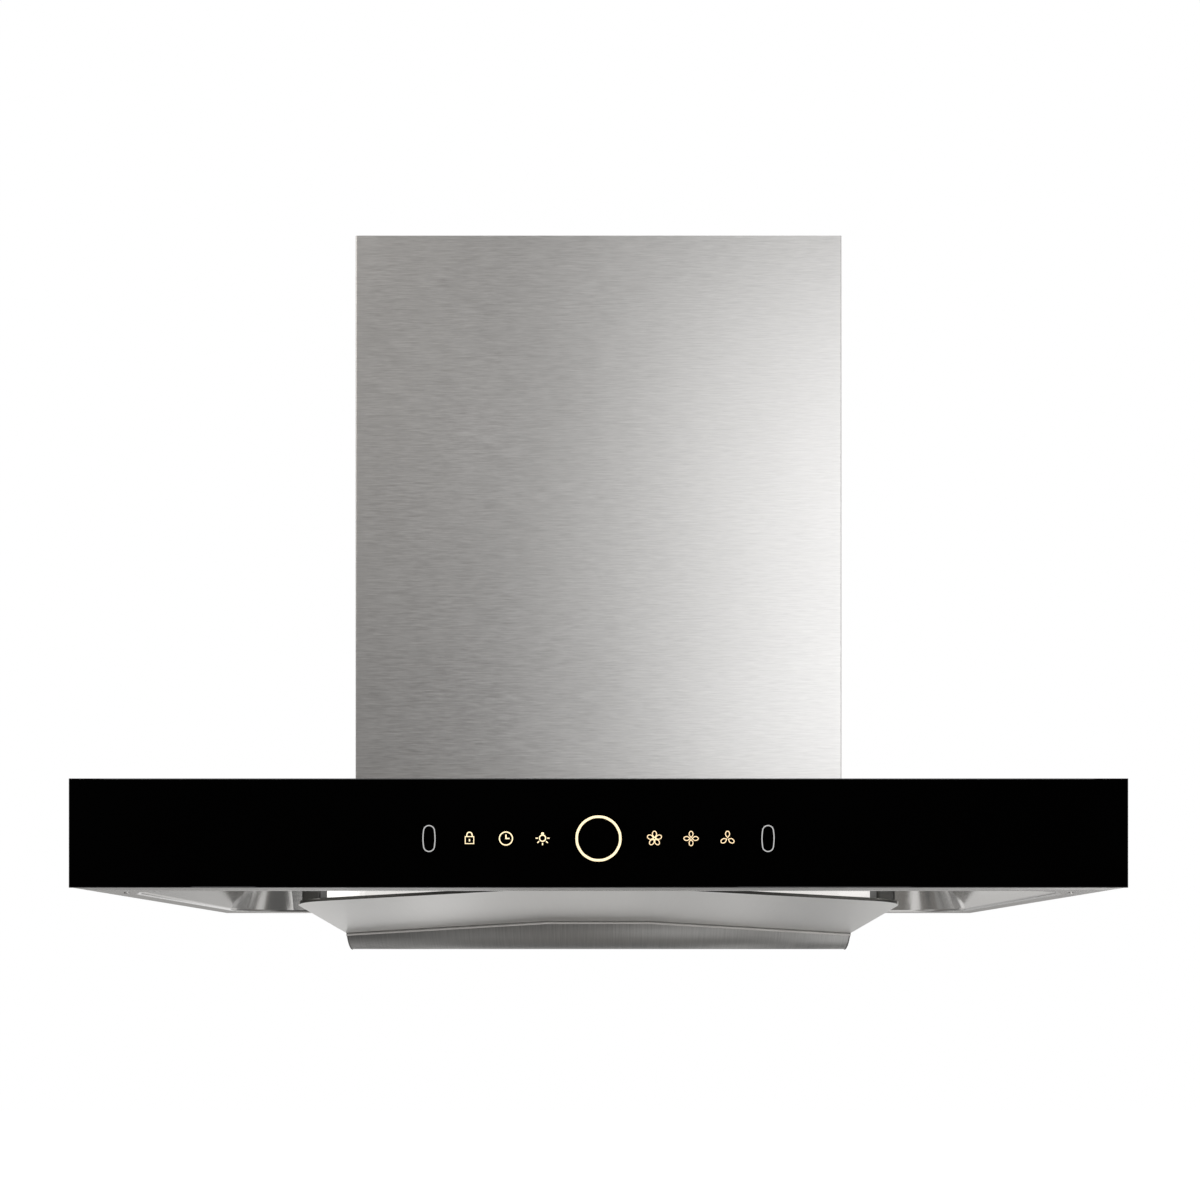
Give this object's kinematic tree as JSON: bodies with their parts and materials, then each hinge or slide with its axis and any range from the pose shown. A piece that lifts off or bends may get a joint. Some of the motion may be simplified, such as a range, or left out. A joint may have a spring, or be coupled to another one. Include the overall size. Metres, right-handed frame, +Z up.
{
  "type": "wall mount range hood",
  "caption": "Wall hood with a black glass touch front, brushed steel blower box, lifting capture plate, magnetic oil tray and a ducted centrifugal blower.",
  "frame": {"origin": "centre of the wall bracket's four bolt holes, on the wall plane", "axes": "+X to the viewer's right, +Y into the wall, +Z up; the glass front faces -Y"},
  "size_m": [0.898, 0.52, 0.73],
  "materials": {
    "brushed_steel": "fine level grain",
    "pan_steel": "satin",
    "plate_steel": "satin",
    "tray_steel": "satin, dark by reflection",
    "zinc_sheet": "zinc coated",
    "black_glass": "back printed, polished",
    "dark_arm": "dark coat",
    "black_plastic": "moulded",
    "grey_plastic": "moulded",
    "lamp_lens": "frosted",
    "light_guide": "clear, lit warm",
    "circuit_board": "coated",
    "motor_paint": "grey coat",
    "bright_steel": "bright",
    "magnet": "nickel coated",
    "rubber": "matte"
  },
  "bodies": {
    "hood": {"box_cover": "brushed_steel", "canopy_shell": "brushed_steel", "fascia_frame": "brushed_steel", "inner_pan": "pan_steel", "intake_grille": "pan_steel", "back_panel": "zinc_sheet", "top_panel": "zinc_sheet", "intake_throat": "zinc_sheet", "wall_bracket": "zinc_sheet", "hanger_hook": "zinc_sheet", "scroll_band": "zinc_sheet", "scroll_front_plate": "zinc_sheet", "scroll_back_plate": "zinc_sheet", "inlet_ring": "zinc_sheet", "motor_bracket": "zinc_sheet", "outlet_transition": "zinc_sheet", "capacitor_strap": "zinc_sheet", "glass_panel": "black_glass", "outlet_collar": "black_plastic", "cord_gland": "black_plastic", "control_box": "black_plastic", "lift_guide_left": "black_plastic", "lift_guide_right": "black_plastic", "gesture_sensors": "black_plastic", "control_box_lid": "grey_plastic", "lamp_housing_left": "grey_plastic", "lamp_housing_right": "grey_plastic", "capacitor": "grey_plastic", "lamp_lens_left": "lamp_lens", "lamp_lens_right": "lamp_lens", "ring_light_guide": "light_guide", "touch_board": "circuit_board", "motor_body": "motor_paint", "lift_motor_left": "motor_paint", "lift_motor_right": "motor_paint", "damper_pin": "bright_steel", "grille_screws": "bright_steel", "collar_screws": "bright_steel", "motor_grommets": "rubber"},
    "wheel": {"impeller": "zinc_sheet", "motor_shaft": "bright_steel", "impeller_nut": "bright_steel"},
    "shield": {"capture_plate": "plate_steel", "lift_arm_left": "dark_arm", "lift_arm_right": "dark_arm", "tray_hangers": "zinc_sheet", "tray_magnets": "magnet"},
    "tray": {"oil_tray": "tray_steel"},
    "flap_front": {"damper_flap_front": "black_plastic"},
    "flap_rear": {"damper_flap_rear": "black_plastic"}
  },
  "joints": [
    {"name": "impeller_spin", "type": "hinge", "parent": "hood", "child": "wheel", "pos_m": [-0.075, -0.165, -0.24], "axis": [0, -1, 0], "continuous": true},
    {"name": "shield_lift", "type": "slide", "parent": "hood", "child": "shield", "axis": [0, 0, 1], "range_m": [0, 0.028]},
    {"name": "tray_release", "type": "slide", "parent": "shield", "child": "tray", "axis": [0, 0, -1], "range_m": [0, 0.06]},
    {"name": "damper_front", "type": "hinge", "parent": "hood", "child": "flap_front", "pos_m": [0, -0.165, 0.108], "axis": [-1, 0, 0], "range_deg": [0, 75]},
    {"name": "damper_rear", "type": "hinge", "parent": "hood", "child": "flap_rear", "pos_m": [0, -0.165, 0.108], "axis": [1, 0, 0], "range_deg": [0, 75]}
  ]
}
